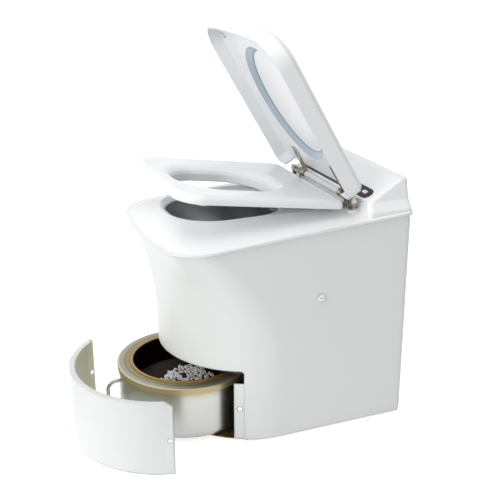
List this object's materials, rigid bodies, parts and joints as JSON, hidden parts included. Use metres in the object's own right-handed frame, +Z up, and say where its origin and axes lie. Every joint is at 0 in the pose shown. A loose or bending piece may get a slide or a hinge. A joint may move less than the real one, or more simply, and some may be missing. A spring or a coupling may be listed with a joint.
{
  "type": "incinerating toilet",
  "caption": "Cabinet toilet that burns waste: flared white body, hinged seat and lid, steel bowl with opening jaws, pull-out ash pan and a curved front cover set down before it.",
  "frame": {"origin": "on the floor, under the middle of the rear foot rail", "axes": "+Z up, the front towards -Y, the user's right hand when seated towards -X"},
  "size_m": [0.4371, 0.7447, 0.8371],
  "materials": {
    "white_coat": "glossy white powder coat",
    "white_moulding": "glossy white moulding",
    "base_metal": "olive passivated sheet",
    "foot_rubber": "matte black rubber",
    "bumper_rubber": "soft white rubber",
    "seal_rubber": "dark rubber",
    "fastener_steel": "plated steel",
    "stud_steel": "plated steel",
    "galvanised_sheet": "galvanised sheet",
    "black_plastic": "matte black plastic",
    "panel_black": "glossy black plastic",
    "lens_clear": "pale lens",
    "board_green": "circuit board green",
    "bowl_mirror": "polished stainless steel",
    "pin_steel": "ground steel",
    "motor_steel": "grey motor can",
    "chamber_steel": "heat-tinted stainless steel",
    "insulation_wool": "white ceramic wool",
    "exhaust_steel": "stainless steel",
    "catalyst_ceramic": "honeycomb ceramic",
    "core_iron": "laminated iron",
    "pan_steel": "brushed stainless steel",
    "rim_steel": "stainless steel tinted golden by heat",
    "ash_powder": "pale crumbly ash",
    "hinge_steel": "aged stainless steel"
  },
  "bodies": {
    "cabinet": {"foot_rails": "foot_rubber", "base_plate": "base_metal", "cabinet_shell": "white_coat", "side_screws": "fastener_steel", "landing_strips": "white_coat", "stud_brackets": "base_metal", "back_panel": "galvanised_sheet", "back_panel_screws": "fastener_steel", "cable_gland": "black_plastic", "top_cover": "white_moulding", "control_panel": "panel_black", "indicator_lens": "lens_clear", "panel_board": "board_green", "bowl_frame": "bowl_mirror", "bowl_seal": "seal_rubber", "jaw_brackets": "galvanised_sheet", "jaw_pivots": "pin_steel", "jaw_gear_motor": "motor_steel", "chute": "chamber_steel", "chamber_plate": "chamber_steel", "chamber_legs": "chamber_steel", "chamber_shell": "chamber_steel", "chamber_insulation": "insulation_wool", "chamber_liner": "chamber_steel", "chamber_top_plate": "chamber_steel", "heating_element": "chamber_steel", "thermocouple": "chamber_steel", "catalyst_can": "exhaust_steel", "catalyst_core": "catalyst_ceramic", "fan_housing": "exhaust_steel", "fan_motor": "motor_steel", "exhaust_spigot": "exhaust_steel", "electronics_box": "galvanised_sheet", "circuit_board": "board_green", "transformer": "core_iron", "terminal_block": "black_plastic", "pan_runners": "galvanised_sheet", "hinge_posts": "hinge_steel", "hinge_rod": "pin_steel", "hinge_tube": "white_moulding"},
    "pan_group": {"ash_pan": "pan_steel", "pan_rim": "rim_steel", "pan_insulation": "insulation_wool", "pan_liner": "rim_steel", "ash": "ash_powder", "pan_handle": "pan_steel"},
    "cover_group": {"front_cover": "white_coat"},
    "seat_group": {"seat": "white_moulding", "seat_hinge_leaves": "hinge_steel", "seat_bumpers": "bumper_rubber"},
    "lid_group": {"lid": "white_moulding", "lid_liner": "white_moulding", "lid_hinge_straps": "hinge_steel", "lid_bumpers": "bumper_rubber"},
    "front_jaw_group": {"front_jaw": "bowl_mirror"},
    "rear_jaw_group": {"rear_jaw": "bowl_mirror"},
    "button_group": {"start_button": "white_moulding"},
    "impeller_group": {"fan_impeller": "black_plastic"},
    "left_stud_group": {"left_stud": "stud_steel"},
    "right_stud_group": {"right_stud": "stud_steel"}
  },
  "joints": [
    {"name": "pan_slide", "type": "slide", "parent": "cabinet", "child": "pan_group", "axis": [0, 1, 0], "range_m": [0, 0.15]},
    {"name": "cover_swing", "type": "hinge", "parent": "pan_group", "child": "cover_group", "pos_m": [0.2999, -0.21401, 0], "axis": [0, 0, 1], "range_deg": [-12.1, 0]},
    {"name": "seat_tilt", "type": "hinge", "parent": "cabinet", "child": "seat_group", "pos_m": [0, -0.07, 0.488], "axis": [-1, 0, 0], "range_deg": [-8.5, 50]},
    {"name": "lid_swing", "type": "hinge", "parent": "seat_group", "child": "lid_group", "pos_m": [0, -0.07, 0.488], "axis": [-1, 0, 0], "range_deg": [-51, 15]},
    {"name": "front_jaw_swing", "type": "hinge", "parent": "cabinet", "child": "front_jaw_group", "pos_m": [0, -0.305, 0.4], "axis": [-1, 0, 0], "range_deg": [-30, 22]},
    {"name": "rear_jaw_swing", "type": "hinge", "parent": "cabinet", "child": "rear_jaw_group", "pos_m": [0, -0.305, 0.4], "axis": [-1, 0, 0], "range_deg": [-22, 30]},
    {"name": "start_press", "type": "slide", "parent": "cabinet", "child": "button_group", "axis": [0, 0.4563, -0.8898], "range_m": [0, 0.0015], "stiffness_N_per_m": 600},
    {"name": "fan_spin", "type": "hinge", "parent": "cabinet", "child": "impeller_group", "pos_m": [0, -0.045, 0.1933], "axis": [0, 1, 0], "continuous": true},
    {"name": "left_stud_press", "type": "slide", "parent": "cabinet", "child": "left_stud_group", "axis": [0.8971, 0.4419, 0], "range_m": [0, 0.004], "stiffness_N_per_m": 900},
    {"name": "right_stud_press", "type": "slide", "parent": "cabinet", "child": "right_stud_group", "axis": [-0.8971, 0.4419, 0], "range_m": [0, 0.004], "stiffness_N_per_m": 900}
  ],
  "couplings": [
    {"joint": "rear_jaw_swing", "follows": "front_jaw_swing", "ratio": -1}
  ]
}
